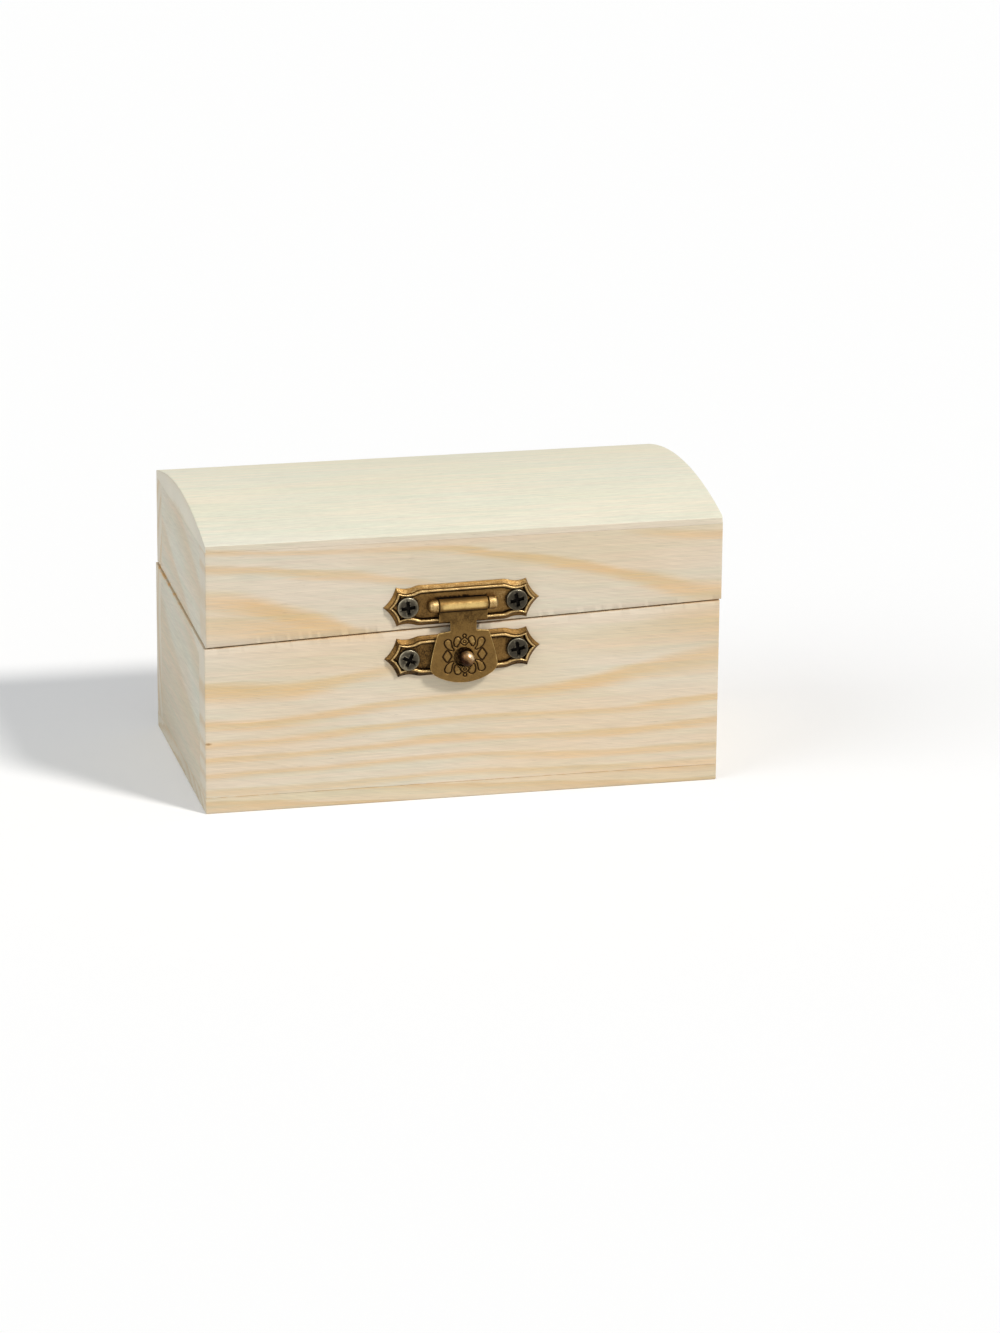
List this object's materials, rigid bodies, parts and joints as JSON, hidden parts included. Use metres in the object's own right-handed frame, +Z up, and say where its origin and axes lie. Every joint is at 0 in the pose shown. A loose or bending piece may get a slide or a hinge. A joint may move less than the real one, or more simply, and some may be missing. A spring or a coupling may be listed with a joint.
{
  "type": "treasure chest box",
  "caption": "Small rectangular pine chest with a shallow domed, hinged lid and a stamped antique-brass hasp that drops over a ball-headed knob.",
  "frame": {"origin": "middle of the underside of the bottom board, where the chest stands", "axes": "+X to the right along the front, +Y from the front with its hasp to the back with its hinges, +Z up from the table"},
  "size_m": [0.0953, 0.0591, 0.0534],
  "materials": {
    "pine": "planed and sanded, unfinished",
    "antique_brass": "stamped, dark patina in the hollows and bright ridges",
    "tongue_brass": "dull antique brass",
    "bright_brass": "turned and polished",
    "dark_nickel": "dark nickel plated",
    "hinge_brass": "plain antique brass"
  },
  "bodies": {
    "base": {"bottom_board": "pine", "base_front_board": "pine", "base_back_board": "pine", "base_left_board": "pine", "base_right_board": "pine", "catch_plate": "antique_brass", "catch_knob": "bright_brass", "catch_plate_screws": "dark_nickel", "base_hinge_screws": "hinge_brass", "left_hinge_base_leaf": "hinge_brass", "right_hinge_base_leaf": "hinge_brass", "left_hinge_pin": "hinge_brass", "right_hinge_pin": "hinge_brass"},
    "lid": {"lid_top_board": "pine", "lid_front_board": "pine", "lid_back_board": "pine", "lid_left_board": "pine", "lid_right_board": "pine", "hasp_plate": "antique_brass", "hasp_pin": "antique_brass", "hasp_plate_screws": "dark_nickel", "lid_hinge_screws": "hinge_brass", "left_hinge_lid_leaf": "hinge_brass", "right_hinge_lid_leaf": "hinge_brass"},
    "hasp": {"hasp_tongue": "tongue_brass"}
  },
  "joints": [
    {"name": "lid_hinge", "type": "hinge", "parent": "base", "child": "lid", "pos_m": [0, 0.02755, 0.03403], "axis": [-0.9994, 0, -0.036], "range_deg": [0, 180]},
    {"name": "hasp_hinge", "type": "hinge", "parent": "lid", "child": "hasp", "pos_m": [-0.0007, -0.02765, 0.037], "axis": [-0.9998, 0, -0.0175], "range_deg": [0, 170]}
  ]
}
